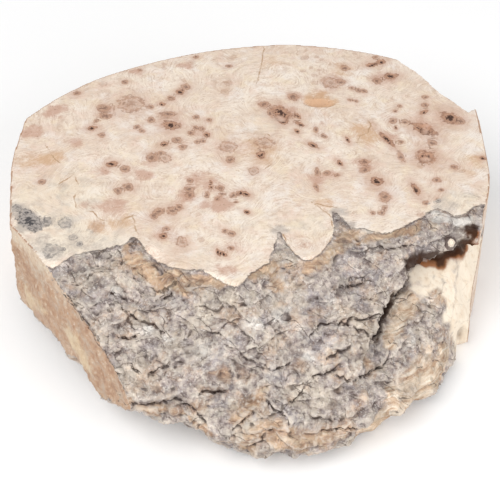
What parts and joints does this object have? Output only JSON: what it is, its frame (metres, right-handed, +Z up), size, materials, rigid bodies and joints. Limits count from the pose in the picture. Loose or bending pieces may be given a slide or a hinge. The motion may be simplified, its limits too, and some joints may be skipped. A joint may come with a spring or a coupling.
{
  "type": "oak burl block",
  "caption": "Block of oak burl, sawn flat on top, below and round the sides, with rough bark left on its front and a weathered hollow under a ledge.",
  "frame": {"origin": "under the middle of the block's box, on the surface that it rests on", "axes": "+Z up through the block's thickness, -Y towards the bark face, +X to the right when facing the bark"},
  "size_m": [0.297, 0.3072, 0.09],
  "materials": {
    "burl_wood": "sawn figured wood with weathered grey bark"
  },
  "bodies": {
    "root": {"oak_burl": "burl_wood"}
  },
  "joints": []
}
